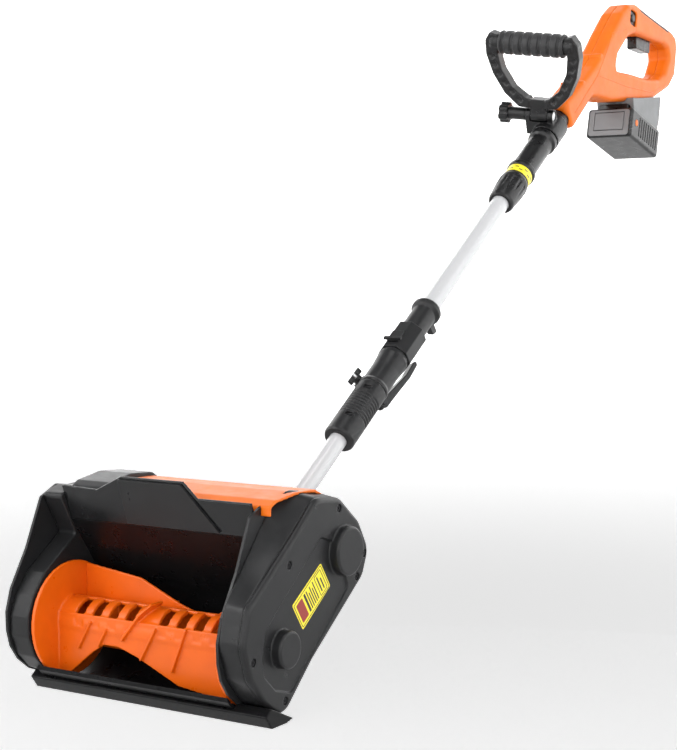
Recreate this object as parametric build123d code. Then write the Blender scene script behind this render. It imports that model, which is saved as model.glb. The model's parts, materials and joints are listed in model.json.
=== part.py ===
from build123d import *
import math
import os

# Battery powered snow thrower: a rotor head on a two-piece shaft with two handles.
# Head and shaft are drawn in the shaft frame: X across the machine, U up along the
# shaft, V square to it, with the rotor axis at (0, 0).  The last section tilts the
# whole set into the working pose and writes one STEP file for each piece.

# ------------------------------------------------------------------ driving dimensions (mm)
SHAFT_TILT = 34.9          # shaft above the ground in the working pose, degrees
ROTOR_AXIS_Y = 20.0        # rotor axis behind the middle of the scraper's flat face
ROTOR_AXIS_Z = 69.8        # rotor axis above the ground

ROTOR_RADIUS = 61.5
ROTOR_LEFT = -142.0        # outer faces of the two end discs
ROTOR_RIGHT = 98.0
DISC_THICKNESS = 4.0
CORE_RADIUS = 25.0
CORE_BORE = 20.5
PADDLE_OFFSET = 24.0       # paddle's outer face, in front of the axis
PADDLE_THICKNESS = 3.0
PADDLE_TOP = 12.0          # paddle's straight edge above the axis
SHAFT_RADIUS = 5.0         # steel rotor shaft

TROUGH_RADIUS = 64.5
WALL = 3.0
TROUGH_LEFT = -144.0
TROUGH_RIGHT = 100.0

LEFT_FRAME_OUTER = -169.0
LEFT_SKIN_OUTER = -172.0
RIGHT_FRAME_OUTER = 103.0
BELT_CASE_OUTER = 126.0
COVER_FACE = 132.0
COVER_BUMP = 9.0
RECESS_DEPTH = 2.2         # sunk panel in the cover that carries the label

PULLEY_DISTANCE_U = 137.0  # motor axis from the rotor axis
PULLEY_DISTANCE_V = 3.0
ROTOR_PULLEY_RADIUS = 30.0
MOTOR_PULLEY_RADIUS = 10.0
BELT_THICKNESS = 2.5
BELT_LOW_X = 109.0
BELT_HIGH_X = 118.0
BEARING_RADIUS = 11.0
RUNNING_GAP = 0.05

SHAFT_V = -36.0            # shaft centre below the line through the rotor axis
LOWER_TUBE_RADIUS = 11.0
UPPER_TUBE_RADIUS = 12.5
TUBE_WALL = 1.5
BARREL_RADIUS = 16.0
TELESCOPE_GAP = 0.08

SLEEVE_LOW, SLEEVE_HIGH = 349.0, 442.0
COUPLING_HEAD_LOW, COUPLING_HEAD_HIGH = 507.0, 560.0
FLANGE_LOW, FLANGE_HIGH = 600.0, 611.0
COLLAR_LOW, COLLAR_HIGH = 858.0, 914.0
BARREL_LOW, BARREL_HIGH = 914.4, 1130.0
CLAMP_LOW, CLAMP_HIGH = 1030.0, 1070.0
HANDLE_LOW = 1084.0

AUX_ROLL = -9.0            # front handle turned about the shaft
AUX_PIVOT_U = 1049.0
AUX_PIVOT_HEIGHT = 27.5    # pivot above the shaft centre
AUX_LEAN = 13.0            # front handle leaning back from square, degrees
AUX_REACH = 104.0          # pivot to the middle of the grip bar
AUX_HALF_WIDTH = 62.0
AUX_GRIP_RADIUS = 17.0
HUB_SHIFT = -10.0          # hinge block to one side of the shaft
LOOP_SKEW = -0.10          # sideways lean of the loop for each mm of height

HANDLE_HALF_WIDTH = 20.0
HANDLE_ROUND = 8.5
BATTERY_TURN = -48.8       # battery's long axis measured from the shaft, degrees
BATTERY_U, BATTERY_V = 1267.3, -121.5   # front upper corner of the battery case
BATTERY_LENGTH = 119.0
BATTERY_WIDTH = 76.0
BATTERY_HEIGHT = 47.0
RAIL_HEIGHT = 9.0

# ------------------------------------------------------------------ small helpers


def slab(face, low_x, high_x):
    """Solid between two X planes with a (u, v) outline."""
    return extrude(Plane.YZ.offset(low_x) * face, amount=high_x - low_x)


def outline(points, radius=0.0):
    """Closed (u, v) outline with every corner rounded by the same radius."""
    face = make_face(Polyline(*points, close=True))
    return fillet(face.vertices(), radius) if radius else face


def cross_rod(radius, low_x, high_x, u=0.0, v=0.0):
    """Round bar along X."""
    middle = (low_x + high_x) / 2
    return Pos(middle, u, v) * Rot(0, 90, 0) * Cylinder(radius, high_x - low_x)


def shaft_rod(radius, low_u, high_u, x=0.0, v=SHAFT_V):
    """Round bar along the shaft."""
    return Pos(x, (low_u + high_u) / 2, v) * Rot(-90, 0, 0) * Cylinder(radius, high_u - low_u)


def shaft_tube(outer, inner, low_u, high_u):
    """Round tube on the shaft's centre line."""
    return shaft_rod(outer, low_u, high_u) - shaft_rod(inner, low_u - 1, high_u + 1)


def turned(stations):
    """Solid of revolution about the shaft from (u, radius) stations."""
    low_u, high_u = stations[0][0], stations[-1][0]
    points = [(u, SHAFT_V + radius) for u, radius in stations]
    points += [(high_u, SHAFT_V), (low_u, SHAFT_V)]
    return revolve(Plane.YZ * make_face(Polyline(*points, close=True)),
                   Axis((0, 0, SHAFT_V), (0, 1, 0)), 360)


def level(y, z):
    """(u, v) of a point given level with the ground, from the rotor axis."""
    angle = math.radians(SHAFT_TILT)
    return (y * math.cos(angle) + z * math.sin(angle), z * math.cos(angle) - y * math.sin(angle))


def group(solids):
    """Several separate solids in one node."""
    return Compound(children=list(solids))


def screw(head_radius, head_height, stem_radius, stem_length):
    """Pan head screw: head above z = 0, stem below, with a cross recess."""
    head = Pos(0, 0, head_height / 2) * Cylinder(head_radius, head_height)
    head = fillet(head.edges().filter_by(GeomType.CIRCLE).sort_by(Axis.Z)[-1:], head_height * 0.4)
    recess = Box(head_radius * 1.1, head_radius * 0.25, head_height)
    recess += Box(head_radius * 0.25, head_radius * 1.1, head_height)
    stem = Pos(0, 0, -stem_length / 2) * Cylinder(stem_radius, stem_length)
    return head - Pos(0, 0, head_height) * recess + stem


parts = {}

# ------------------------------------------------------------------ rotor
ROTOR_MIDDLE = (ROTOR_LEFT + ROTOR_RIGHT) / 2
HALF_LENGTH = (ROTOR_RIGHT - ROTOR_LEFT) / 2
CHORD = math.sqrt(ROTOR_RADIUS ** 2 - PADDLE_OFFSET ** 2)   # paddle's reach below the axis
TILT_BACK = Rot(-SHAFT_TILT, 0, 0)     # level directions inside the shaft frame


def rotor_paddle():
    """Front paddle: a flat web hanging from the core, waisted between the discs."""
    edge = [(-HALF_LENGTH, -CHORD), (-104, -CHORD + 2), (-70, -27), (-54, -17), (-36, -17),
            (-10, -25), (16, -36), (42, -47), (74, -51), (HALF_LENGTH, -CHORD)]
    points = [(ROTOR_MIDDLE + x, z) for x, z in edge]
    web = Polyline(*points) + Polyline(points[-1], (ROTOR_RIGHT, PADDLE_TOP), (ROTOR_LEFT, PADDLE_TOP), points[0])
    plate = extrude(Plane.XZ.offset(PADDLE_OFFSET - PADDLE_THICKNESS) * make_face(web),
                    amount=PADDLE_THICKNESS)
    ribs = [Pos(ROTOR_MIDDLE + x, -PADDLE_OFFSET - 2, -9) * Rot(0, lean, 0) * Box(2.4, 5, length)
            for x, lean, length in ((-78, 30, 34), (-54, 30, 22), (6, 30, 40), (46, 22, 52))]
    reach = extrude(Plane.XZ * make_face(web), amount=40)
    ribs = [rib & reach for rib in ribs]
    return plate + ribs


def core_cage(front):
    """Half of the slotted core tube."""
    ring = cross_rod(CORE_RADIUS, ROTOR_LEFT, ROTOR_RIGHT) - cross_rod(CORE_BORE, ROTOR_LEFT, ROTOR_RIGHT)
    slots = [Pos(ROTOR_MIDDLE + step * 22.0, 0, 0) * Box(12, 80, 30) for step in range(-4, 5)
             if step != 0]
    side = -1 if front else 1
    half = Pos(ROTOR_MIDDLE, side * 50.15, 0) * Box(2 * HALF_LENGTH, 100, 100)
    slots = [Pos(0, 0, 14 if front else -14) * slot for slot in slots]
    return (ring - slots) & half


def central_fin():
    """Curved fin that lifts snow at the middle of the rotor."""
    fin = Pos(ROTOR_MIDDLE - 12, -12, 11) * Rot(0, 40, 0) * Box(3, 34, 52)
    reach = cross_rod(36, ROTOR_LEFT, ROTOR_RIGHT) - cross_rod(CORE_RADIUS - 1, ROTOR_LEFT, ROTOR_RIGHT)
    front = Pos(ROTOR_MIDDLE, -50.15, 0) * Box(2 * HALF_LENGTH, 100, 100)
    return fin & reach & front


def end_disc(low_x):
    disc = cross_rod(ROTOR_RADIUS, low_x, low_x + DISC_THICKNESS)
    return disc - cross_rod(SHAFT_RADIUS, low_x - 1, low_x + DISC_THICKNESS + 1)


def hub_web(x):
    """Spoke plate inside the core that carries the shaft bore."""
    plate = cross_rod(CORE_BORE + 1, x, x + 5)
    return plate - cross_rod(SHAFT_RADIUS, x - 1, x + 6)


front_reach = Pos(ROTOR_MIDDLE, -50.15, 0) * Box(2 * HALF_LENGTH + 2, 100, 140)
rear_reach = Pos(ROTOR_MIDDLE, 50.15, 0) * Box(2 * HALF_LENGTH + 2, 100, 140)
inside_rotor = cross_rod(ROTOR_RADIUS, ROTOR_LEFT, ROTOR_RIGHT)
outside_core = inside_rotor - cross_rod(CORE_BORE, ROTOR_LEFT, ROTOR_RIGHT)


def mirrored_paddle():
    """Rear paddle: the front one turned over the axis and reversed end for end."""
    turned_over = Rot(180, 0, 0) * rotor_paddle()
    return mirror(turned_over, about=Plane.YZ.offset(ROTOR_MIDDLE))


half_front = core_cage(True) + (rotor_paddle() & outside_core) + central_fin()
half_front += end_disc(ROTOR_LEFT) + (hub_web(ROTOR_MIDDLE - 60) & front_reach)
half_rear = core_cage(False) + (mirrored_paddle() & outside_core)
half_rear += end_disc(ROTOR_RIGHT - DISC_THICKNESS) + (hub_web(ROTOR_MIDDLE - 60) & rear_reach)
left_disc_space = cross_rod(ROTOR_RADIUS + 1, ROTOR_LEFT - 1, ROTOR_LEFT + DISC_THICKNESS)
right_disc_space = cross_rod(ROTOR_RADIUS + 1, ROTOR_RIGHT - DISC_THICKNESS, ROTOR_RIGHT + 1)
parts["rotor_half_front"] = TILT_BACK * (half_front - right_disc_space)
parts["rotor_half_rear"] = TILT_BACK * (half_rear - left_disc_space)

ROTOR_SHAFT_LEFT = -159.0
ROTOR_SHAFT_RIGHT = 121.0
parts["rotor_shaft"] = cross_rod(SHAFT_RADIUS, ROTOR_SHAFT_LEFT, ROTOR_SHAFT_RIGHT)
DISC_SCREWS = [(13.0, 0.0), (-13.0, 0.0), (0.0, 13.0), (0.0, -13.0)]
parts["rotor_disc_screws"] = group(
    [Pos(ROTOR_RIGHT, *point) * Rot(0, 90, 0) * screw(3.6, 1.6, 1.8, 3.9) for point in DISC_SCREWS])
for point in DISC_SCREWS:
    parts["rotor_half_rear"] -= cross_rod(1.8, ROTOR_RIGHT - 3.9, ROTOR_RIGHT + 1, *point)

pulley = cross_rod(ROTOR_PULLEY_RADIUS, BELT_LOW_X - 1, BELT_HIGH_X + 1)
pulley += cross_rod(ROTOR_PULLEY_RADIUS + 4, BELT_LOW_X - 2, BELT_LOW_X - 0.3)
pulley += cross_rod(ROTOR_PULLEY_RADIUS + 4, BELT_HIGH_X + 0.3, BELT_HIGH_X + 2)
pulley -= [Pos(0, 18 * math.cos(a), 18 * math.sin(a)) * Rot(0, 90, 0) * Pos(0, 0, 113.5) * Cylinder(6, 14)
           for a in (math.radians(60 * n) for n in range(6))]
parts["rotor_pulley"] = pulley - cross_rod(SHAFT_RADIUS, 100, 125)

# ------------------------------------------------------------------ head walls
CASE_OUTLINE = [(-40, -57), (31, -48), (150, -46), (176, -30), (178, 8), (164, 52), (130, 82),
                (84, 78), (-20, 74), (-48, 50), (-58, 15), (-54, -20)]
SHOULDER_OUTLINE = [(-40, -57), (31, -48), (150, -46), (176, -30), (178, 10), (167, 54), (124, 96),
                    (84, 99), (-20, 74), (-48, 50), (-58, 15), (-54, -20)]
CASE_ROUND = 22.0
case_face = outline(CASE_OUTLINE, CASE_ROUND)
SKIN_FRONT = [(103, 96), (89, 109), (62, 114), (14, 85), (-28, 66), (-47, 51), (-58, 34),
              (-64, 17), (-64, -2), (-58, -22), (-46, -40)]
SIDE_REAR = [(-34, -57), (31, -50), (150, -47), (172, -34), (177, -10), (177, 10), (160, 60)]
FRAME_FRONT = [(103, 96), (89, 109), (65, 116), (60, 66), (0, 66), (-28, 58), (-46, 46), (-58, 28),
               (-63, 5), (-59, -18), (-46, -38)]
MOTOR = (PULLEY_DISTANCE_U, PULLEY_DISTANCE_V)

skin_face = outline(SKIN_FRONT + SIDE_REAR, 5)
frame_face = outline(FRAME_FRONT + SIDE_REAR, 4)
left_frame = slab(frame_face, LEFT_FRAME_OUTER, TROUGH_LEFT)
left_frame -= slab(offset(frame_face, -WALL), LEFT_FRAME_OUTER - 1, TROUGH_LEFT - 6)
left_frame += cross_rod(17, LEFT_FRAME_OUTER + 2, TROUGH_LEFT - 2)
left_frame -= cross_rod(BEARING_RADIUS, -160.0, -150.0)
left_frame -= cross_rod(SHAFT_RADIUS + 1.5, -165.0, -140.0)
parts["left_side_frame"] = left_frame
parts["left_side_skin"] = slab(skin_face, LEFT_SKIN_OUTER, LEFT_FRAME_OUTER)

right_frame = slab(skin_face, TROUGH_RIGHT, RIGHT_FRAME_OUTER)
right_frame -= cross_rod(BEARING_RADIUS + 2, 90, 110)
right_frame -= cross_rod(6.5, 90, 110, *MOTOR)
parts["right_side_frame"] = right_frame

case_low = Plane.YZ.offset(RIGHT_FRAME_OUTER) * outline(SHOULDER_OUTLINE, CASE_ROUND)
case_high = Plane.YZ.offset(BELT_CASE_OUTER) * case_face
belt_case = loft([case_low, case_high], ruled=True)
case_inside = offset(case_face, -WALL)
belt_case -= slab(case_inside, RIGHT_FRAME_OUTER + WALL, BELT_CASE_OUTER + 1)
belt_case += cross_rod(BEARING_RADIUS + 3, RIGHT_FRAME_OUTER, RIGHT_FRAME_OUTER + WALL)
belt_case -= cross_rod(BEARING_RADIUS, 95, 110)
belt_case -= cross_rod(6.5, 95, 110, *MOTOR)
COVER_SCREWS = [(155.0, 45.0), (55.0, 60.0), (-43.0, 26.0), (-27.0, -44.5), (140.0, -37.0), (165.0, -27.0)]
case_bosses = [slab(Pos(*point) * Circle(4.6), RIGHT_FRAME_OUTER + 1, BELT_CASE_OUTER) for point in COVER_SCREWS]
belt_case += case_bosses
belt_case -= [cross_rod(1.8, BELT_CASE_OUTER - 12, BELT_CASE_OUTER + 1, *point) for point in COVER_SCREWS]
parts["belt_case_inner"] = belt_case

# cover: rounded rim, recessed channel round the belt run, raised caps over both pulleys
cover = slab(case_face, BELT_CASE_OUTER, COVER_FACE)
rim = cover.edges().group_by(Axis.X)[-1]
cover = fillet(rim, 5.4)
RECESS = [(-15, -46), (-33, -24), (-39, 2), (-30, 18), (-12, 35), (10, 38), (113, 44), (128, 24),
          (122, -34), (56, -40)]
recess_face = outline(RECESS, 7)
cover -= slab(recess_face, COVER_FACE - RECESS_DEPTH, COVER_FACE + 1)
for radius, point in ((25.7, MOTOR), (19.0, (0.0, 0.0))):
    cap = cross_rod(radius, COVER_FACE - 4, COVER_FACE + COVER_BUMP, *point)
    cover += fillet(cap.edges().group_by(Axis.X)[-1], 3)
cover -= cross_rod(22.0, BELT_CASE_OUTER - 1, COVER_FACE + 4, *MOTOR)
cover -= cross_rod(15.0, BELT_CASE_OUTER - 1, COVER_FACE + 4)
for point in COVER_SCREWS:
    cover -= cross_rod(4.2, COVER_FACE - 3.4, COVER_FACE + 1, *point) + cross_rod(1.8, 120, COVER_FACE, *point)
LABEL = [(37, -11.5), (99, -10.5), (99, 21), (37, 22)]
label_face = outline(LABEL, 2)
recess_floor = COVER_FACE - RECESS_DEPTH
cover -= slab(label_face, recess_floor - 0.4, recess_floor + 0.5)
parts["belt_cover"] = cover
parts["cover_label"] = slab(label_face, recess_floor - 0.4, recess_floor + 0.1)
parts["cover_screws"] = group(
    [Pos(COVER_FACE - 3.4, *point) * Rot(0, 90, 0) * screw(3.6, 2.2, 1.8, 13.5) for point in COVER_SCREWS])

# trough and back wall, given level with the ground from the rotor axis
chamber = cross_rod(TROUGH_RADIUS + WALL, TROUGH_LEFT, TROUGH_RIGHT)
chamber -= cross_rod(TROUGH_RADIUS, TROUGH_LEFT, TROUGH_RIGHT)
WALL_FOOT = (48.07, 43.0)
WALL_HEAD = (4.0, 105.0)
wall_keep = [level(*p) for p in ((-49, -42), (-49, -90), (90, -90), (90, 43), (40, 43), (0, 0))]
trough = chamber & slab(outline(wall_keep), TROUGH_LEFT, TROUGH_RIGHT)
back_wall = [level(*p) for p in (WALL_FOOT, (52.0, 43.0), (7.4, 107.0), WALL_HEAD)]
trough += slab(outline(back_wall), TROUGH_LEFT, TROUGH_RIGHT)
parts["rotor_trough"] = trough

# deflector: upright panel above the back wall, drawn from the front in (x, z)
LEAN = math.degrees(math.atan2(14, 36))


def panel(points, thickness, proud):
    """Upright panel standing on the back wall's head; z is height above that head."""
    sheet = extrude(Plane.XZ.offset(proud) * make_face(Polyline(*points, close=True)), amount=-thickness)
    return TILT_BACK * Pos(0, WALL_HEAD[0], WALL_HEAD[1]) * Rot(LEAN, 0, 0) * sheet


HOOD = [(TROUGH_LEFT, 0), (TROUGH_LEFT, 40), (-98, 38), (-60, 56), (21, 56), (34, 38),
        (TROUGH_RIGHT, 38), (TROUGH_RIGHT, 0)]
PLATE = [(-64, 3), (-62, 54), (19, 54), (54, 3)]
parts["deflector_hood"] = panel(HOOD, WALL, 0.0) - parts["rotor_trough"]
parts["deflector_plate"] = panel(PLATE, 2.5, 2.5) - parts["rotor_trough"]

# rear housing behind the trough: floor, back and the closed corner round the motor
rear_outer = outline([(30, -47), (150, -47), (172, -34), (177, -10), (177, 12), (120, 12), (30, 12)], 0)
rear_inner = outline([(20, -44), (149, -44), (169.5, -32), (174, -9), (174, 20), (120, 20), (20, 20)], 0)
rear = slab(rear_outer, TROUGH_LEFT, TROUGH_RIGHT) - slab(rear_inner, TROUGH_LEFT - 1, TROUGH_RIGHT + 1)
rear -= cross_rod(TROUGH_RADIUS + WALL, TROUGH_LEFT - 1, TROUGH_RIGHT + 1)
SOCKET_RADIUS = 17.0
rear -= shaft_rod(SOCKET_RADIUS, 130, 230)
parts["rear_housing"] = rear

# orange top cover: a level lid that turns down at the back
COVER_LEFT = -98.0
COVER_RIGHT = 114.0
lid_outer = [level(*p) for p in ((2, 128), (3, 138), (14, 143), (50, 147), (84, 146), (103, 137))] + [(177, 12)]
lid_inner = [(174, 12)] + [level(*p) for p in ((101, 134), (83, 143), (50, 144), (15, 140), (6, 136), (5, 128))]
lid_face = outline(lid_outer + lid_inner)
lid = slab(lid_face, COVER_LEFT, COVER_RIGHT)
lid -= parts["belt_case_inner"]
lid -= parts["right_side_frame"]
lid -= slab(case_face, RIGHT_FRAME_OUTER - 3, BELT_CASE_OUTER)
lid = lid.solids().sort_by(SortBy.VOLUME)[-1]
parts["top_cover"] = lid
shoulder_outer = [level(*p) for p in ((2, 128), (3, 140), (14, 146), (50, 152), (84, 150), (104, 138))] + [(177, 12)]
shoulder = slab(outline(shoulder_outer + lid_inner), TROUGH_LEFT, COVER_LEFT)
shoulder = fillet(shoulder.edges().filter_by(Axis.X).group_by(Axis.Z)[-1], 8)
parts["left_shoulder"] = shoulder

# scraper along the ground, with a flat face to rest on
SCRAPER_LEFT, SCRAPER_RIGHT = -161.0, 141.0
SCRAPER_FLAT = 27.0
blade = [level(*p) for p in ((-43, -57), (-33.5, -69.8), (-33.5 + SCRAPER_FLAT, -69.8), (4, -67.4), (-34, -50))]
scraper = slab(outline(blade), SCRAPER_LEFT, SCRAPER_RIGHT)
scraper -= cross_rod(TROUGH_RADIUS + WALL, TROUGH_LEFT, TROUGH_RIGHT)
for wall in ("left_side_frame", "belt_case_inner", "right_side_frame"):
    scraper -= parts[wall]
scraper -= parts["rotor_trough"]
scraper -= slab(case_face, BELT_CASE_OUTER - 1, COVER_FACE)
scraper -= cross_rod(TROUGH_RADIUS, TROUGH_LEFT, TROUGH_RIGHT)
parts["scraper"] = scraper.solids().sort_by(SortBy.VOLUME)[-1]

# ------------------------------------------------------------------ bearings, motor and belt
parts["rotor_bearing_left"] = (cross_rod(BEARING_RADIUS, -160.0, -152.0)
                               - cross_rod(SHAFT_RADIUS + RUNNING_GAP, -161.0, -150.0))
parts["rotor_bearing_right"] = (cross_rod(BEARING_RADIUS, TROUGH_RIGHT + 1, RIGHT_FRAME_OUTER + WALL)
                                - cross_rod(SHAFT_RADIUS + RUNNING_GAP, 95.0, 115.0))
retainer = cross_rod(16, -151.9, -150.0) - cross_rod(SHAFT_RADIUS + 1, -153, -149)
parts["left_side_frame"] -= cross_rod(16, -151.9, -150.0)
parts["bearing_retainer"] = retainer

MOTOR_RADIUS = 21.0
MOTOR_LOW, MOTOR_HIGH = 26.0, 96.0
can = cross_rod(MOTOR_RADIUS, MOTOR_LOW, MOTOR_HIGH, *MOTOR)
can = fillet(can.edges().group_by(Axis.X)[0], 3)
can -= [Pos(MOTOR_LOW + 12, *MOTOR) * Rot(90 * n + 45, 0, 0) * Pos(0, 0, MOTOR_RADIUS) * Box(12, 10, 6)
        for n in range(4)]
can -= cross_rod(3.2, MOTOR_HIGH - 30, MOTOR_HIGH + 1, *MOTOR)
parts["motor_can"] = can
flange = cross_rod(MOTOR_RADIUS + 2, MOTOR_HIGH, TROUGH_RIGHT, *MOTOR)
flange -= cross_rod(3.2, MOTOR_HIGH - 1, TROUGH_RIGHT + 1, *MOTOR)
MOTOR_SCREWS = [(MOTOR[0], MOTOR[1] + 14), (MOTOR[0], MOTOR[1] - 14)]
flange -= [cross_rod(2.0, MOTOR_HIGH - 1, TROUGH_RIGHT + 1, *point) for point in MOTOR_SCREWS]
parts["motor_flange"] = flange
parts["motor_screws"] = group(
    [Pos(RIGHT_FRAME_OUTER + WALL, *point) * Rot(0, 90, 0) * screw(3.5, 1.6, 2.0, 10.0)
     for point in MOTOR_SCREWS])
for wall in ("right_side_frame", "belt_case_inner"):
    parts[wall] -= [cross_rod(2.0, 90, RIGHT_FRAME_OUTER + WALL + 1, *point) for point in MOTOR_SCREWS]
parts["motor_can"] -= [cross_rod(2.3, MOTOR_HIGH - 5, MOTOR_HIGH + 1, *point) for point in MOTOR_SCREWS]
parts["motor_shaft"] = cross_rod(2.5, MOTOR_HIGH - 25, 120.0, *MOTOR)
motor_pulley = cross_rod(MOTOR_PULLEY_RADIUS, BELT_LOW_X - 1, BELT_HIGH_X + 1, *MOTOR)
motor_pulley += cross_rod(MOTOR_PULLEY_RADIUS + 3.5, BELT_HIGH_X + 0.3, BELT_HIGH_X + 2, *MOTOR)
parts["motor_pulley"] = motor_pulley - cross_rod(2.5, 100, 125, *MOTOR)


def belt_face(grow):
    """Outline of the belt run: tangent lines round both pulleys, grown outwards."""
    big = ROTOR_PULLEY_RADIUS + 0.3 + grow
    small = MOTOR_PULLEY_RADIUS + 0.3 + grow
    return make_hull(((Pos(0, 0) * Circle(big)).edges() + (Pos(*MOTOR) * Circle(small)).edges()))


parts["drive_belt"] = slab(belt_face(BELT_THICKNESS) - belt_face(0.0), BELT_LOW_X, BELT_HIGH_X)

# ------------------------------------------------------------------ shaft
socket = shaft_rod(SOCKET_RADIUS, 132, 214) - shaft_rod(LOWER_TUBE_RADIUS, 142, 230)
socket = fillet(socket.edges().filter_by(GeomType.CIRCLE).group_by(Axis.Y)[-1][-1:], 2)
parts["tube_socket"] = socket
parts["lower_tube"] = shaft_tube(LOWER_TUBE_RADIUS, LOWER_TUBE_RADIUS - TUBE_WALL, 142, 468)

sleeve = turned([(SLEEVE_LOW, 17.5), (SLEEVE_LOW + 3, 19.2), (SLEEVE_HIGH - 1.5, 19.2), (SLEEVE_HIGH, 18.4)])
sleeve -= [Pos(0, u, SHAFT_V) * Rot(-90, 0, 0) * (Cylinder(21, 3) - Cylinder(18.2, 4))
           for u in [384.0 + 5.0 * n for n in range(8)]]
sleeve -= [Pos(6, u, SHAFT_V + 18.6) * Box(10, 6.4, 8) for u in (378.0, 429.0)]
sleeve -= shaft_rod(LOWER_TUBE_RADIUS, SLEEVE_LOW - 1, SLEEVE_HIGH + 1)
parts["coupling_sleeve"] = sleeve

barrel = turned([(SLEEVE_HIGH, 19.0), (446, 19.6), (450, 17.8), (480, 17.8), (497, 19.2), (500, 19.8),
                 (503, 18.9), (506.5, 18.9)])
LEVER_U = 452.0
LUG_X = -14.5              # clamp bolt beside the tube
CLAMP_ROLL = Pos(0, LEVER_U, SHAFT_V) * Rot(0, -30, 0)     # clamp turned about the shaft
LUG_REACH = 16.7
lug = Pos(LUG_X, 0, 0) * Box(13, 15, 2 * LUG_REACH)
lug = fillet(lug.edges().filter_by(Axis.Z), 2.5)
barrel += CLAMP_ROLL * lug
barrel -= shaft_rod(UPPER_TUBE_RADIUS, 468, 520)
barrel -= shaft_rod(LOWER_TUBE_RADIUS, 430, 469)
barrel -= CLAMP_ROLL * Pos(-22, 0, 0) * Box(26, 24, 1.6)
barrel -= CLAMP_ROLL * Pos(LUG_X, 0, 0) * Cylinder(2.55, 60)
parts["coupling_barrel"] = barrel

hexagon = Plane.XZ.offset(-COUPLING_HEAD_LOW) * Pos(0, SHAFT_V) * RegularPolygon(21.5, 8, rotation=22.5)
head = extrude(hexagon, amount=-(COUPLING_HEAD_HIGH - COUPLING_HEAD_LOW))
head = chamfer(head.edges().group_by(Axis.Y)[-1], 3)
head += shaft_rod(15.8, COUPLING_HEAD_HIGH, FLANGE_LOW)
head += turned([(FLANGE_LOW - 2, 16), (FLANGE_LOW + 2, 19.5), (FLANGE_HIGH - 3, 19.5), (FLANGE_HIGH, 17.5)])
BUTTON_U = 526.0
head -= Pos(0, BUTTON_U, SHAFT_V + 19) * Box(16.4, 22.4, 12)
head -= shaft_rod(UPPER_TUBE_RADIUS, COUPLING_HEAD_LOW - 1, FLANGE_HIGH + 1)
head += slab(outline([(596, SHAFT_V - 14), (598, SHAFT_V - 32), (608, SHAFT_V - 34), (607, SHAFT_V - 14)], 2), -4, 4) \
    - shaft_rod(UPPER_TUBE_RADIUS + 1, 590, 615)
parts["coupling_head"] = head
button = Pos(0, BUTTON_U, SHAFT_V + 18.75) * Box(16, 19, 5.9)
button += Pos(0, BUTTON_U - 7.5, SHAFT_V + 22.9) * Box(24, 4, 3)
parts["release_button"] = button

LEVER_V = -24.0            # lever pin below the shaft centre, in the clamp's turned frame
lever = Pos(LUG_X, 0, LEVER_V) * Rot(0, 90, 0) * Cylinder(7.0, 12)
lever_bar = [(0, -7), (14, -7.5), (60, -10.5), (84, -9), (88, -5), (84, -2.5), (60, -3.5), (14, 2), (4, 5)]
lever += Pos(0, 0, LEVER_V) * slab(outline(lever_bar, 1.5), LUG_X - 6, LUG_X + 6)
lever -= Pos(LUG_X, -1, LEVER_V) * Box(5.6, 20, 30)
lever -= Pos(LUG_X, 0, LEVER_V) * Rot(0, 90, 0) * Cylinder(2.55, 20)
parts["clamp_lever"] = CLAMP_ROLL * lever
parts["lever_pin"] = CLAMP_ROLL * Pos(LUG_X, 0, LEVER_V) * Rot(0, 90, 0) * (
    Cylinder(2.5, 12) + Pos(0, 0, 6.6) * Cylinder(4, 1.2) + Pos(0, 0, -6.6) * Cylinder(4, 1.2))
bolt = Pos(LUG_X, 0, (LEVER_V + 28) / 2 + 1.2) * Cylinder(2.5, 28 - LEVER_V - 2.4)
bolt -= Pos(LUG_X, 0, LEVER_V) * Rot(0, 90, 0) * Cylinder(2.5, 20)
parts["clamp_stud"] = CLAMP_ROLL * bolt
nut = Pos(LUG_X, 0, 19.6) * Cylinder(6.0, 5.4)
nut += [Pos(LUG_X, side * 8.5, 24) * Box(3.4, 10, 7) for side in (-1, 1)]
nut -= Pos(LUG_X, 0, 20) * Cylinder(2.55, 40)
parts["wing_nut"] = CLAMP_ROLL * nut

parts["upper_tube"] = shaft_tube(UPPER_TUBE_RADIUS, UPPER_TUBE_RADIUS - TUBE_WALL, 468.5, 985)
collar = turned([(COLLAR_LOW, 16.5), (COLLAR_LOW + 4, 18.3), (COLLAR_LOW + 30, 20.5), (COLLAR_HIGH - 6, 21.0),
                 (COLLAR_HIGH, 19.0)])
collar -= [Pos(0, 0, SHAFT_V) * Rot(0, 30 * n, 0) * Pos(0, COLLAR_LOW + 25, 21.6) * Rot(-90, 0, 0) * Cylinder(2.4, 36)
           for n in range(12)]
collar -= shaft_rod(UPPER_TUBE_RADIUS + TELESCOPE_GAP, COLLAR_LOW - 1, COLLAR_HIGH + 1)
parts["twist_collar"] = collar
outer_barrel = turned([(BARREL_LOW, 19.0), (932, 19.0), (934, 20.8), (941, 20.8), (943, 17.6), (1014, 17.6),
                       (1018, 21.0), (1026, 21.0), (1028, BARREL_RADIUS), (BARREL_HIGH, BARREL_RADIUS)])
outer_barrel -= shaft_rod(19.0 + 1, 916, 931) - shaft_rod(18.6, 915, 932)
outer_barrel -= shaft_rod(UPPER_TUBE_RADIUS + TELESCOPE_GAP, BARREL_LOW - 1, BARREL_HIGH + 1)
parts["outer_barrel"] = outer_barrel
parts["barrel_label"] = shaft_tube(19.1, 18.6, 916.0, 931.0)
parts["power_lead"] = shaft_rod(3.0, 150, 978)

# ------------------------------------------------------------------ front handle, in its own turned frame
AUX_FRAME = Pos(0, AUX_PIVOT_U, SHAFT_V) * Rot(0, -AUX_ROLL, 0)
AUX_HUB = Pos(HUB_SHIFT, 0, AUX_PIVOT_HEIGHT)


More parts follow.
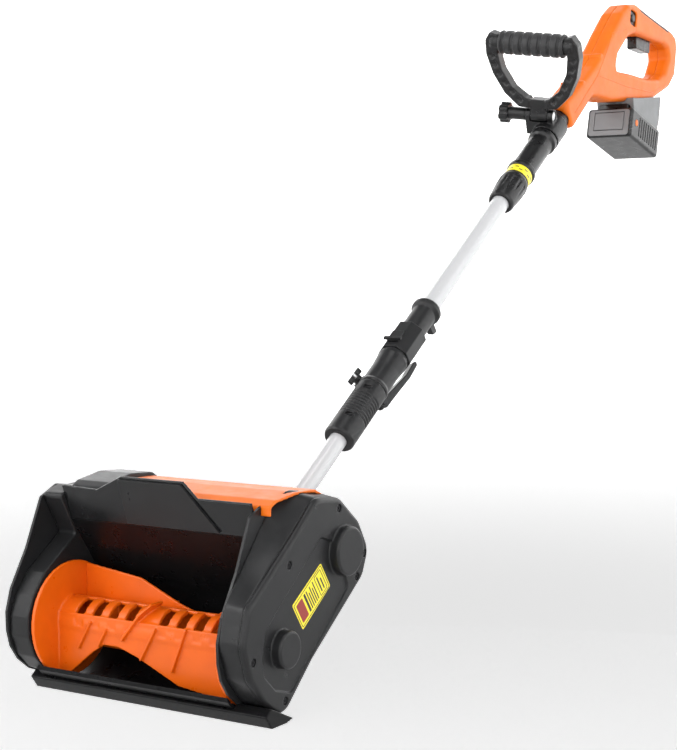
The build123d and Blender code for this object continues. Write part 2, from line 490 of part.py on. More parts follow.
def aux_rod(radius, low_x, high_x):
    middle = (low_x + high_x) / 2
    return AUX_HUB * Pos(middle, 0, 0) * Rot(0, 90, 0) * Cylinder(radius, high_x - low_x)


HUB_RADIUS = 9.5
HUB_HALF = 21.0
clamp_length = CLAMP_HIGH - CLAMP_LOW
clamp = Rot(-90, 0, 0) * Cylinder(21.5, clamp_length)
clamp += Pos(HUB_SHIFT, 0, AUX_PIVOT_HEIGHT / 2) * Box(2 * HUB_HALF, 2 * HUB_RADIUS, AUX_PIVOT_HEIGHT)
clamp += aux_rod(HUB_RADIUS, -HUB_HALF, HUB_HALF)
clamp -= aux_rod(HUB_RADIUS + 1.5, -13.3, 13.3)
clamp -= Pos(HUB_SHIFT, 0, AUX_PIVOT_HEIGHT + 10) * Box(26.6, 60, 20)
clamp -= Rot(-90, 0, 0) * Cylinder(BARREL_RADIUS, clamp_length + 2)
clamp -= aux_rod(4.05, -60, 60)
clamp -= aux_rod(7.0, 16.0, 30)
clamp -= Pos(0, 0, -20) * Box(3, clamp_length + 2, 12)
parts["handle_clamp"] = AUX_FRAME * clamp
parts["clamp_bolt"] = AUX_FRAME * (aux_rod(4.0, -48, 17) + aux_rod(6.2, 16.1, 20))
knob = aux_rod(15.0, -61, -47.5) - [AUX_HUB * Rot(60 * n, 0, 0) * Pos(-54, 0, 18.5) * Rot(0, 90, 0) * Cylinder(6, 20)
                                  for n in range(6)]
knob = knob + aux_rod(9.0, -48, -21.3) - aux_rod(4.0 + RUNNING_GAP, -48.2, 0)
parts["clamp_knob"] = AUX_FRAME * knob

# loop of the handle: arms from the hub out to a round bar; the whole loop leans to one side
ARM_OUTER = [(12.7, 12), (29, 13), (49, 32), (64, 60), (71, 88), (70, 108), (62, 120)]
ARM_INNER = [(50, 116), (53, 90), (49, 66), (35, 40), (18, 27), (12.7, 26)]
ARM_DEPTH = 19.0


def leaning(half_width, height, side):
    """Point of the loop's outline, shifted sideways by the loop's lean."""
    return (side * half_width + LOOP_SKEW * height, height)


def arm(side):
    corners = [leaning(*point, side) for point in ARM_OUTER + ARM_INNER]
    face = make_face(Polyline(*corners, close=True))
    body = extrude(Plane.XZ.offset(-ARM_DEPTH / 2) * face, amount=ARM_DEPTH)
    body = fillet(body.edges().filter_by(Axis.Y), 2.0)
    for half_width, height in ((26, 24), (36, 35), (45, 47), (53, 60), (59, 73), (62, 86)):
        x, z = leaning(half_width, height, side)
        body -= Pos(x, -ARM_DEPTH / 2, z) * Rot(0, side * 38, 0) * Box(7, 4, 9)
    return body


bar_middle = AUX_REACH * LOOP_SKEW
hub = Rot(0, 90, 0) * Cylinder(HUB_RADIUS, 26)
hub_block = Pos(-1, 0, 14) * Box(24, 17, 22)
bar = Pos(bar_middle, 0, AUX_REACH) * Rot(0, 90, 0) * Cylinder(12.0, 2 * AUX_HALF_WIDTH)
loop = arm(-1) + arm(1) + hub + hub_block + bar
loop -= Rot(0, 90, 0) * Cylinder(4.05, 60)
lean = AUX_HUB * Rot(-AUX_LEAN, 0, 0)
parts["aux_handle"] = AUX_FRAME * lean * loop
grip = Pos(bar_middle, 0, AUX_REACH) * Rot(0, 90, 0) * Cylinder(AUX_GRIP_RADIUS, 98)
grip = fillet(grip.edges().filter_by(GeomType.CIRCLE), 3)
grip -= [Pos(bar_middle + 14 * n, 0, AUX_REACH) * Rot(0, 90, 0) * (Cylinder(24, 5) - Cylinder(AUX_GRIP_RADIUS - 2.6, 6))
         for n in range(-3, 4)]
grip -= Pos(bar_middle, 0, AUX_REACH) * Rot(0, 90, 0) * Cylinder(12.0, 120)
grip -= loop
parts["aux_grip"] = AUX_FRAME * lean * grip

# ------------------------------------------------------------------ rear handle
HANDLE = [(HANDLE_LOW, -11), (1168, -16), (1212, -18), (1250, -14), (1300, -6), (1350, 0), (1382, -2), (1410, -16),
          (1456, -61), (1526, -126), (1537, -143), (1532, -160), (1497, -194), (1464, -197), (1379, -174),
          (1299, -129), (1232, -91), (1204, -69), (1178, -53), (HANDLE_LOW, -56)]
HAND_HOLE = [(1278, -62), (1300, -47), (1352, -44), (1380, -53), (1478, -124), (1491, -140), (1487, -156),
             (1458, -167), (1430, -162), (1392, -141), (1332, -98)]
handle_face = outline(HANDLE, 12) - outline(HAND_HOLE, 8)
whole = slab(handle_face, -HANDLE_HALF_WIDTH, HANDLE_HALF_WIDTH)
whole = fillet(whole.edges().group_by(Axis.X)[-1] + whole.edges().group_by(Axis.X)[0], HANDLE_ROUND)
core = slab(offset(handle_face, -6), -HANDLE_HALF_WIDTH + 4, HANDLE_HALF_WIDTH - 4)
core -= slab(outline([(HANDLE_LOW - 5, 0), (1140, 0), (1140, -60), (HANDLE_LOW - 5, -60)]), -20, 20)
whole -= shaft_rod(BARREL_RADIUS, HANDLE_LOW - 5, BARREL_HIGH)
whole -= core
GRIP_ANGLE = -37.0        # lower face of the rear grip, measured from the shaft
GRIP = Pos(0, 1424, -93) * Rot(GRIP_ANGLE, 0, 0)
trigger_space = GRIP * Pos(0, 0, 8) * Box(16.6, 68, 20)
whole -= trigger_space
PAD_ANGLE = -43.5         # upper face of the rear grip
pad_top = Pos(0, 1468, -70.5) * Rot(PAD_ANGLE, 0, 0) * Box(60, 128, 15)
LOCK = (1384.0, -28.0)
BEZEL_FACE = 16.5
bezel_outline = Pos(*LOCK) * RectangleRounded(25, 23, 5, rotation=PAD_ANGLE)
whole -= slab(bezel_outline, BEZEL_FACE - 3, HANDLE_HALF_WIDTH + 1)
whole -= cross_rod(6.1, 5, 25, *LOCK)
parts["lock_bezel"] = slab(bezel_outline, BEZEL_FACE - 3, BEZEL_FACE) - cross_rod(6.1, 5, 25, *LOCK)
left_half = Pos(-25, 1300, -100) * Box(50, 600, 400)
right_half = Pos(25, 1300, -100) * Box(50, 600, 400)

battery_place = Pos(0, BATTERY_U, BATTERY_V) * Rot(BATTERY_TURN, 0, 0)


def battery_box(low_x, high_x, low_t, high_t, low_n, high_n):
    """Box in the battery's own frame: t runs rearwards along it, n towards the handle."""
    return battery_place * Pos((low_x + high_x) / 2, (low_t + high_t) / 2, (low_n + high_n) / 2) * Box(
        high_x - low_x, high_t - low_t, high_n - low_n)


dock = slab(outline([(1290, -118), (1280, -140), (1348, -214), (1366, -204), (1394, -176), (1310, -130)]), -31, 31)
above_battery = battery_box(-60, 60, -60, 200, 0.4, 120)
dock &= above_battery
dock -= battery_box(-24.4, 24.4, 8, 200, -5, RAIL_HEIGHT + 0.4)
dock = dock - whole
dock = dock.solids().sort_by(SortBy.VOLUME)[-1]
parts["battery_dock"] = dock
whole -= battery_box(-60, 60, -10, 140, -60, 0.6)
whole -= battery_box(-24.8, 24.8, 2, 150, -5, RAIL_HEIGHT + 0.8)
parts["grip_pad"] = whole & pad_top
whole -= pad_top
parts["rear_handle_left"] = (whole & left_half)
parts["rear_handle_right"] = (whole & right_half)
for node in ("rear_handle_left", "rear_handle_right", "grip_pad"):
    parts[node] = parts[node].solids().sort_by(SortBy.VOLUME)[-1]
HANDLE_SCREWS = [(1160.0, -20.0), (1240.0, -18.0), (1240.0, -80.0), (1345.0, -30.0), (1500.0, -160.0), (1340.0, -140.0)]
parts["rear_handle_left"] += [cross_rod(5, -HANDLE_HALF_WIDTH + 1, 0, *p) for p in HANDLE_SCREWS]
parts["rear_handle_right"] += [cross_rod(5, 0, HANDLE_HALF_WIDTH - 1, *p) for p in HANDLE_SCREWS]
parts["rear_handle_left"] -= [cross_rod(3.8, -25, -17, *p) + cross_rod(1.8, -25, 1, *p) for p in HANDLE_SCREWS]
parts["rear_handle_right"] -= [cross_rod(1.8, -1, 8, *p) for p in HANDLE_SCREWS]
parts["handle_screws"] = group(
    [Pos(-17, *p) * Rot(0, -90, 0) * screw(3.4, 2.0, 1.8, 24.5) for p in HANDLE_SCREWS])

trigger = GRIP * Box(16, 58, 24)
trigger = fillet(trigger.edges().filter_by(Axis.X), 4)
parts["trigger"] = trigger
parts["trigger_switch"] = GRIP * Pos(0, 0, 25) * Box(16, 40, 10)
parts["lock_button"] = fillet(cross_rod(6.0, 10.5, 20.0, *LOCK).edges().group_by(Axis.X)[-1], 1.5)

# ------------------------------------------------------------------ battery
case = battery_box(-BATTERY_WIDTH / 2, BATTERY_WIDTH / 2, 0, BATTERY_LENGTH, -BATTERY_HEIGHT, 0)
case = fillet(case.edges(), 5)
case += battery_box(-24, 24, 8.4, BATTERY_LENGTH - 4, -2, RAIL_HEIGHT)
LATCH = (-24.0, 24.0, -1.2, 6.0, -36.0, -8.0)
case -= battery_box(-24.3, 24.3, -10, 9, -36.3, -7.7)
case -= [battery_box(36.5, 40, 30 + 9 * n, 34 + 9 * n, -38, -8) for n in range(9)]
case -= [battery_box(-40, -36.5, 30 + 9 * n, 34 + 9 * n, -38, -8) for n in range(9)]
case -= battery_place * Pos(37, 20, -20) * Rot(0, 90, 0) * Cylinder(5.2, 8)
parts["battery_case"] = case
latch = battery_box(*LATCH)
parts["battery_latch"] = fillet(latch.edges().filter_by(Axis.X), 1)
parts["charge_button"] = battery_place * Pos(36.3, 20, -20) * Rot(0, 90, 0) * Cylinder(5.0, 4)

# ------------------------------------------------------------------ into the working pose and out to files
POSE = Pos(0, 0, ROTOR_AXIS_Z) * Pos(0, ROTOR_AXIS_Y, 0) * Rot(SHAFT_TILT, 0, 0)
os.makedirs("parts", exist_ok=True)
for node, shape in parts.items():
    export_step(POSE * shape, os.path.join("parts", node + ".step"))
print(len(parts), "nodes")
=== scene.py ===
import json
import math

import bmesh
import bpy
from mathutils import Matrix, Vector


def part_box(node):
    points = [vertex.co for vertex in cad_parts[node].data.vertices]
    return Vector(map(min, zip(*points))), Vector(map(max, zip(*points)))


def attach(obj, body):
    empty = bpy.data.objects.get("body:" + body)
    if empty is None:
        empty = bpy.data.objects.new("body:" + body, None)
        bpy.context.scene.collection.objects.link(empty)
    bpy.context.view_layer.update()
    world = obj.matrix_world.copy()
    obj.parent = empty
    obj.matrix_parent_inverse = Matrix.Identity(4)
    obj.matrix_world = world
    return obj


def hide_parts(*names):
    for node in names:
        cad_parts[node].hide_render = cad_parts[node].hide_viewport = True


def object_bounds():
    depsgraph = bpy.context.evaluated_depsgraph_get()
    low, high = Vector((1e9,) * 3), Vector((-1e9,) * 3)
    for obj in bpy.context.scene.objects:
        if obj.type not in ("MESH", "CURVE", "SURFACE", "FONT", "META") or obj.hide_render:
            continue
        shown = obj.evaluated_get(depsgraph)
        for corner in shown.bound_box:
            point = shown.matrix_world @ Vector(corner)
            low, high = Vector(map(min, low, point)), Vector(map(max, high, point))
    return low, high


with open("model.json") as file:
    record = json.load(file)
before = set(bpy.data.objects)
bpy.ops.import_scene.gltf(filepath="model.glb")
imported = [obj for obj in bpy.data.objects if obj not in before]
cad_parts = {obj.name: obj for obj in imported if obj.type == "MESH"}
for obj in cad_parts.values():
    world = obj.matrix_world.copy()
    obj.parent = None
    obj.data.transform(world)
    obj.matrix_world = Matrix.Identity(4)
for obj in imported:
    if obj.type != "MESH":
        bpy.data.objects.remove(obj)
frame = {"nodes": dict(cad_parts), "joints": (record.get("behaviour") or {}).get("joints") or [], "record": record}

# Looks of a battery powered snow thrower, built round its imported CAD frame.  Organic pieces are
# remeshed copies of their CAD nodes with soft corners; the rest keep the CAD mesh.
# Sizes are in metres.  Places come from the frame: the shaft frame below has U up along
# the shaft, V square to it and X across the machine, with the rotor axis at (x, 0, 0).

cad_low, cad_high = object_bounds()
cad = frame["nodes"]
joints = {joint["name"]: joint for joint in frame["joints"]}

MM = 0.001
ROTOR_AXIS = Vector(joints["rotor_spin"]["pos_m"])
ALONG = Vector(joints["telescope_slide"]["axis"]).normalized()
ACROSS = Vector((1, 0, 0))
SQUARE = ACROSS.cross(ALONG)
SHAFT_FRAME = Matrix((ACROSS, ALONG, SQUARE)).transposed().to_4x4()
SHAFT_FRAME.translation = Vector((0, ROTOR_AXIS.y, ROTOR_AXIS.z))


# ------------------------------------------------------------------ materials

def shader_node(tree, kind, **values):
    """Adds a node; values that are not attributes go to inputs of that name."""
    made = tree.nodes.new(kind)
    for name, value in values.items():
        if hasattr(made, name):
            setattr(made, name, value)
        else:
            made.inputs[name.replace("_", " ")].default_value = value
    return made


def noise(tree, coords, scale, detail=3.0, roughness=0.55):
    made = shader_node(tree, "ShaderNodeTexNoise", Scale=scale, Detail=detail, Roughness=roughness)
    tree.links.new(coords, made.inputs["Vector"])
    return made.outputs["Fac"]


def remap(tree, value, from_low, from_high, to_low, to_high):
    made = shader_node(tree, "ShaderNodeMapRange", From_Min=from_low, From_Max=from_high,
                       To_Min=to_low, To_Max=to_high)
    tree.links.new(value, made.inputs["Value"])
    return made.outputs["Result"]


def blend_colour(tree, factor, low, high):
    """Colour between low and high; each is a colour or an output socket."""
    made = tree.nodes.new("ShaderNodeMix")
    made.data_type = "RGBA"
    tree.links.new(factor, made.inputs["Factor"])
    for socket, colour in ((made.inputs["A"], low), (made.inputs["B"], high)):
        socket = [s for s in made.inputs if s.name == socket.name and s.type == "RGBA"][0]
        if isinstance(colour, bpy.types.NodeSocket):
            tree.links.new(colour, socket)
        else:
            socket.default_value = (*colour, 1.0)
    return [s for s in made.outputs if s.type == "RGBA"][0]


def shade(colour, factor):
    return tuple(min(1.0, channel * factor) for channel in colour)


def multiply(tree, first, second):
    made = shader_node(tree, "ShaderNodeMath", operation="MULTIPLY")
    tree.links.new(first, made.inputs[0])
    tree.links.new(second, made.inputs[1])
    return made.outputs[0]


def rounded_edges(tree, radius):
    """Normal with every sharp edge softened by radius, and a mask of those edges."""
    bevel = shader_node(tree, "ShaderNodeBevel", samples=4, Radius=radius)
    geometry = tree.nodes.new("ShaderNodeNewGeometry")
    alike = shader_node(tree, "ShaderNodeVectorMath", operation="DOT_PRODUCT")
    tree.links.new(bevel.outputs["Normal"], alike.inputs[0])
    tree.links.new(geometry.outputs["Normal"], alike.inputs[1])
    return bevel.outputs["Normal"], remap(tree, alike.outputs["Value"], 0.97, 0.75, 0.0, 1.0)


COAT_ROUGHNESS = 0.12


def surface(name, colour, roughness, metallic=0.0, grain=1400.0, grain_height=0.03, edge=0.8 * MM,
            wear=1.25, wear_share=0.5, variation=0.08, specular=0.5, coat=0.0, sheen=0.0,
            brushed=None):
    """Moulded, painted or machined surface with grain, mottling and lighter worn edges."""
    made = bpy.data.materials.new(name)
    made.use_nodes = True
    tree = made.node_tree
    shader = tree.nodes["Principled BSDF"]
    shader.inputs["Metallic"].default_value = metallic
    shader.inputs["Specular IOR Level"].default_value = specular
    shader.inputs["Coat Weight"].default_value = coat
    shader.inputs["Coat Roughness"].default_value = COAT_ROUGHNESS
    shader.inputs["Sheen Weight"].default_value = sheen
    coords = tree.nodes.new("ShaderNodeTexCoord").outputs["Object"]
    if brushed:
        stretch = shader_node(tree, "ShaderNodeMapping")
        stretch.inputs["Scale"].default_value = brushed
        tree.links.new(coords, stretch.inputs["Vector"])
        grain_coords = stretch.outputs["Vector"]
    else:
        grain_coords = coords
    normal, edges = rounded_edges(tree, edge)
    cloud = noise(tree, coords, 22.0, 4.0)
    mottled = blend_colour(tree, remap(tree, cloud, 0.3, 0.7, 0.0, 1.0),
                           shade(colour, 1 - variation), shade(colour, 1 + variation))
    patchy = multiply(tree, edges, remap(tree, noise(tree, coords, 160.0), 0.42, 0.62, 0.0, wear_share))
    worn = blend_colour(tree, patchy, mottled, shade(colour, wear))
    tree.links.new(worn, shader.inputs["Base Color"])
    smudge = remap(tree, noise(tree, coords, 60.0, 5.0, 0.65), 0.3, 0.75,
                   max(0.02, roughness - 0.06), roughness + 0.08)
    tree.links.new(smudge, shader.inputs["Roughness"])
    fine = noise(tree, grain_coords, grain, 2.0, 0.6)
    bump = shader_node(tree, "ShaderNodeBump", Strength=0.35, Distance=grain_height * MM)
    tree.links.new(fine, bump.inputs["Height"])
    tree.links.new(normal, bump.inputs["Normal"])
    tree.links.new(bump.outputs["Normal"], shader.inputs["Normal"])
    return made


ORANGE = (0.74, 0.116, 0.003)
ORANGE_LIGHT = (0.72, 0.140, 0.004)
CHARCOAL = (0.015, 0.0152, 0.016)
BLACK = (0.007, 0.007, 0.0075)
materials = {
    "rotor_orange": surface("rotor_orange", ORANGE, 0.32, grain=900, grain_height=0.04, wear=1.35,
                            specular=0.4),
    "cover_orange": surface("cover_orange", ORANGE_LIGHT, 0.42, grain=1500, wear=1.25, specular=0.28),
    "charcoal": surface("charcoal", CHARCOAL, 0.33, grain=1300, grain_height=0.06, wear=2.6, specular=0.27),
    "gloss_black": surface("gloss_black", (0.008, 0.0083, 0.009), 0.22, grain=260, grain_height=0.02,
                           variation=0.05, wear=2.2, specular=0.36),
    "black": surface("black", BLACK, 0.30, grain=1500, grain_height=0.05, wear=2.8, specular=0.42),
    "soft_black": surface("soft_black", (0.011, 0.011, 0.012), 0.50, grain=1000, grain_height=0.12,
                          wear=1.8, sheen=0.15),
    "dark_grey": surface("dark_grey", (0.055, 0.057, 0.060), 0.5, grain=1400, grain_height=0.08, wear=1.9),
    "mid_grey": surface("mid_grey", (0.17, 0.175, 0.18), 0.48, grain=1400, grain_height=0.07, wear=1.4),
    "white_paint": surface("white_paint", (0.50, 0.505, 0.515), 0.22, grain=420, grain_height=0.03,
                           variation=0.02, wear=0.9, coat=0.5),
    "steel": surface("steel", (0.56, 0.57, 0.58), 0.30, metallic=1.0, grain=300, grain_height=0.04,
                     brushed=(8, 1, 1), wear=1.2),
    "zinc": surface("zinc", (0.50, 0.51, 0.53), 0.36, metallic=1.0, grain=600, wear=1.25),
    "motor_steel": surface("motor_steel", (0.22, 0.22, 0.23), 0.38, metallic=0.9, grain=400, wear=1.6),
    "belt_rubber": surface("belt_rubber", (0.012, 0.012, 0.012), 0.72, grain=900, grain_height=0.1),
    "label_yellow": surface("label_yellow", (0.86, 0.72, 0.03), 0.33, grain=500, grain_height=0.01,
                            variation=0.03, wear=1.05, edge=0.2 * MM),
    "dark_screw": surface("dark_screw", (0.03, 0.03, 0.032), 0.34, metallic=0.8, grain=600, wear=2.5),
    "print_black": surface("print_black", (0.02, 0.018, 0.016), 0.4, grain=500, grain_height=0.01, wear=1.1,
                           edge=0.1 * MM),
    "print_red": surface("print_red", (0.28, 0.03, 0.02), 0.4, grain=500, grain_height=0.01, wear=1.1,
                         edge=0.1 * MM),
    "deep_black": surface("deep_black", (0.006, 0.006, 0.0065), 0.30, grain=420, grain_height=0.02,
                          variation=0.06, wear=2.4, specular=0.14),
    "sheath": surface("sheath", (0.016, 0.016, 0.017), 0.55, grain=800, grain_height=0.06),
}

MATERIAL_OF = {
    "rotor_orange": ["rotor_half_front", "rotor_half_rear"],
    "cover_orange": ["top_cover", "rear_handle_left", "rear_handle_right", "charge_button"],
    "charcoal": ["left_side_frame", "left_side_skin", "right_side_frame", "belt_case_inner", "belt_cover",
                 "left_shoulder", "rear_housing", "tube_socket", "coupling_sleeve", "coupling_barrel",
                 "coupling_head", "release_button", "clamp_lever", "wing_nut", "deflector_plate"],
    "gloss_black": ["deflector_hood"],
    "deep_black": ["rotor_trough", "scraper"],
    "black": ["twist_collar", "outer_barrel", "handle_clamp", "clamp_knob", "aux_handle", "battery_case",
              "trigger", "trigger_switch", "rotor_pulley", "lock_bezel"],
    "soft_black": ["grip_pad", "aux_grip"],
    "mid_grey": ["battery_latch", "battery_dock"],
    "dark_grey": ["lock_button"],
    "white_paint": ["lower_tube", "upper_tube"],
    "steel": ["rotor_shaft", "rotor_bearing_left", "rotor_bearing_right", "motor_shaft", "motor_pulley",
              "motor_flange", "clamp_stud", "clamp_bolt"],
    "dark_screw": ["cover_screws", "lever_pin"],
    "zinc": ["rotor_disc_screws", "bearing_retainer", "motor_screws", "handle_screws"],
    "motor_steel": ["motor_can"],
    "belt_rubber": ["drive_belt"],
    "label_yellow": ["cover_label", "barrel_label"],
    "sheath": ["power_lead"],
}
for material_name, members in MATERIAL_OF.items():
    for member in members:
        cad[member].data.materials.clear()
        cad[member].data.materials.append(materials[material_name])


# ------------------------------------------------------------------ moulded pieces

BODY_OF = {node: name for name, nodes in frame["record"]["behaviour"]["bodies"].items() for node in nodes}


def own(piece, node):
    """The piece moves with the CAD node's body."""
    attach(piece, BODY_OF[node])


def new_object(name, mesh, material):
    made = bpy.data.objects.new(name, mesh)
    mesh.materials.clear()
    mesh.materials.append(material)
    bpy.context.scene.collection.objects.link(made)
    return made


def settled(piece):
    """Applies the piece's modifiers."""
    evaluated = piece.evaluated_get(bpy.context.evaluated_depsgraph_get())
    mesh = bpy.data.meshes.new_from_object(evaluated)
    piece.modifiers.clear()
    piece.data = mesh


WELD_DISTANCE = 0.02 * MM
SMOOTHING_SHARE = 0.5


def moulded(node, voxel, rounds):
    """Stands for a CAD node: the same shape with its corners run soft, as from a mould."""
    welded = bmesh.new()
    welded.from_mesh(cad[node].data)
    bmesh.ops.remove_doubles(welded, verts=welded.verts, dist=WELD_DISTANCE)
    mesh = bpy.data.meshes.new(node + "_moulded")
    welded.to_mesh(mesh)
    welded.free()
    piece = new_object(node + "_moulded", mesh, cad[node].data.materials[0])
    remesh = piece.modifiers.new("remesh", "REMESH")
    remesh.mode = "VOXEL"
    remesh.voxel_size = voxel * MM
    remesh.use_smooth_shade = True
    smooth = piece.modifiers.new("smooth", "SMOOTH")
    smooth.factor = SMOOTHING_SHARE
    smooth.iterations = rounds
    settled(piece)
    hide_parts(node)
    own(piece, node)
    return piece


# voxel in millimetres and rounds of smoothing for each node
MOULDED = {
    "rear_handle_left": (1.2, 6), "rear_handle_right": (1.2, 6), "aux_handle": (1.0, 8),
    "aux_grip": (0.8, 3), "grip_pad": (1.0, 4), "handle_clamp": (0.8, 3), "clamp_knob": (0.6, 3),
    "rotor_half_front": (1.0, 3), "rotor_half_rear": (1.0, 3), "belt_cover": (0.7, 2),
    "belt_case_inner": (1.2, 4), "left_side_frame": (1.2, 4), "left_shoulder": (1.0, 3),
    "deflector_hood": (0.8, 2), "top_cover": (1.0, 3), "coupling_sleeve": (0.6, 2),
    "coupling_barrel": (0.8, 3), "coupling_head": (0.5, 2), "clamp_lever": (0.7, 3),
    "wing_nut": (0.4, 3), "twist_collar": (0.7, 3), "outer_barrel": (0.9, 3),
    "battery_case": (0.6, 2), "battery_dock": (0.9, 3), "trigger": (0.7, 4),
    "tube_socket": (0.9, 3), "scraper": (1.0, 3), "rear_housing": (1.2, 3),
}
pieces = {node: moulded(node, voxel, rounds) for node, (voxel, rounds) in MOULDED.items()}


# ------------------------------------------------------------------ print on the label, without any words

def rounded_outline(low, high, radius, steps=5):
    """Corners of a rectangle from low to high, each run round with the radius."""
    corners = ((high[0], high[1]), (low[0], high[1]), (low[0], low[1]), (high[0], low[1]))
    points = []
    for turn, (u, v) in enumerate(corners):
        middle_u = u + (-radius if u == high[0] else radius)
        middle_v = v + (-radius if v == high[1] else radius)
        for step in range(steps + 1):
            angle = math.radians(90 * (turn + step / steps))
            points.append((middle_u + radius * math.cos(angle), middle_v + radius * math.sin(angle)))
    return points


def plate(made, outline, low, high, hole=None):
    """Adds a flat plate to a bmesh: its outline in the shaft frame's (u, v), from x low to high, all mm."""
    def ring(points, x):
        return [made.verts.new(SHAFT_FRAME @ (Vector((x, *point)) * MM)) for point in points]

    loops = [[ring(points, x) for x in (low, high)] for points in ([outline, hole] if hole else [outline])]
    for index, (bottom, top) in enumerate(loops):
        for step in range(len(bottom)):
            following = (step + 1) % len(bottom)
            corners = (bottom[step], bottom[following], top[following], top[step])
            made.faces.new(corners if index == 0 else corners[::-1])
    if hole:
        for level in (0, 1):
            outer, inner = loops[0][level], loops[1][level]
            for step in range(len(outer)):
                following = (step + 1) % len(outer)
                corners = (outer[step], outer[following], inner[following], inner[step])
                made.faces.new(corners if level else corners[::-1])
    else:
        bottom, top = loops[0]
        made.faces.new(top)
        made.faces.new(bottom[::-1])


def printed(name, material, shapes, node="cover_label"):
    """Thin print lying on the label; each shape is (low, high, corner radius, frame width or None)."""
    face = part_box(node)[1].x / MM
    made = bmesh.new()
    for low, high, radius, width in shapes:
        hole = None
        if width:
            hole = rounded_outline((low[0] + width, low[1] + width), (high[0] - width, high[1] - width),
                                   max(radius - width, 0.2))
        plate(made, rounded_outline(low, high, radius), face - 0.05, face + 0.06, hole)
    bmesh.ops.recalc_face_normals(made, faces=made.faces)
    mesh = bpy.data.meshes.new(name)
    made.to_mesh(mesh)
    made.free()
    own(new_object(name, mesh, materials[material]), node)


LABEL_BARS = [((62.0 + 3.4 * row, -6.5), (63.6 + 3.4 * row, 16.5 - 5.0 * (row % 2)), 0.6, None)
              for row in range(5)]
printed("label_print_dark", "print_black",
        [((38.4, -9.8), (97.6, 19.8), 1.6, 0.8), ((57.0, -6.5), (60.2, 16.5), 0.8, None), *LABEL_BARS,
         ((80.5, -7.5), (94.5, 17.5), 1.4, 0.9), ((84.0, -4.5), (86.0, 14.5), 0.8, None),
         ((88.8, -4.5), (90.8, 9.5), 0.8, None)])
printed("label_print_red", "print_red", [((41.5, -6.5), (54.0, 16.5), 1.4, None)])


# ------------------------------------------------------------------ ribs, plates and bars

RIB_RADIUS = 0.9
RIB_SUNK_SHARE = 0.45      # how far the rib's middle lies under the surface
RIB_SPACING = 6.0
HANDLE_SIDE_LEAST_X = 12.0  # a ray that lands nearer the middle has gone through the hand hole


def handle_rib(name, path):
    """Raised line moulded on the right side of the rear handle, along (u, v) points in mm."""
    side = pieces["rear_handle_right"]
    points = []
    for start, end in zip(path, path[1:]):
        start, end = Vector(start), Vector(end)
        steps = max(2, round((end - start).length / RIB_SPACING))
        for step in range(steps):
            points.append(start.lerp(end, step / steps))
    to_local = side.matrix_world.inverted()
    landed = []
    for point in points:
        away = to_local @ (SHAFT_FRAME @ (Vector((60, *point)) * MM))   # 60 mm out, beside the handle
        hit, place, _normal, _face = side.ray_cast(away, Vector((-1, 0, 0)))
        if hit and place.x > HANDLE_SIDE_LEAST_X * MM:
            landed.append(side.matrix_world @ place)
    curve = bpy.data.curves.new(name, "CURVE")
    curve.dimensions = "3D"
    curve.bevel_depth = RIB_RADIUS * MM
    curve.bevel_resolution = 3
    line = curve.splines.new("POLY")
    line.points.add(len(landed) - 1)
    for point, place in zip(line.points, landed):
        point.co = (*(place - Vector((RIB_SUNK_SHARE * RIB_RADIUS * MM, 0, 0))), 1)
    made = bpy.data.objects.new(name, curve)
    bpy.context.scene.collection.objects.link(made)
    mesh = bpy.data.meshes.new_from_object(made.evaluated_get(bpy.context.evaluated_depsgraph_get()))
    bpy.data.objects.remove(made)
    for face in mesh.polygons:
        face.use_smooth = True
    own(new_object(name, mesh, materials["cover_orange"]), "rear_handle_right")


handle_rib("handle_rib_upper", [(1352, -30), (1300, -9), (1210, -33), (1100, -38)])
handle_rib("handle_rib_lower", [(1210, -33), (1300, -103), (1387, -163), (1445, -182)])

# the battery's own frame: its origin is the front upper corner, in the shaft frame, mm
BATTERY_TURN = math.radians(-48.8)
BATTERY_CORNER = Vector((0, 1267.3, -121.5))
BATTERY_FRAME = SHAFT_FRAME @ Matrix.Translation(BATTERY_CORNER * MM)
BATTERY_FRAME = BATTERY_FRAME @ Matrix.Rotation(BATTERY_TURN, 4, "X")


def battery_plate(name, material, low, high, hole_low, hole_high, radius, thickness):
    """Flat frame on the battery's front face: corners are (x, n) in mm, n towards the handle."""
    made = bmesh.new()
    outlines = [rounded_outline(low, high, radius), rounded_outline(hole_low, hole_high, 1.2)]
    loops = [[[made.verts.new(BATTERY_FRAME @ (Vector((x, level, n)) * MM)) for x, n in points]
              for level in (0.1, -thickness)] for points in outlines]
    count = len(outlines[0])
    for step in range(count):
        following = (step + 1) % count
        for rings in loops:
            made.faces.new((rings[0][step], rings[0][following], rings[1][following], rings[1][step]))
        for level in (0, 1):
            outer, inner = loops[0][level], loops[1][level]
            made.faces.new((outer[step], outer[following], inner[following], inner[step]))
    bmesh.ops.recalc_face_normals(made, faces=made.faces)
    mesh = bpy.data.meshes.new(name)
    made.to_mesh(mesh)
    made.free()
    own(new_object(name, mesh, materials[material]), "battery_case")


battery_plate("battery_front_plate", "mid_grey", low=(-33.0, -45.0), high=(33.0, -3.6),
              hole_low=(-25.0, -37.0), hole_high=(25.0, -7.2), radius=4.0, thickness=1.0)


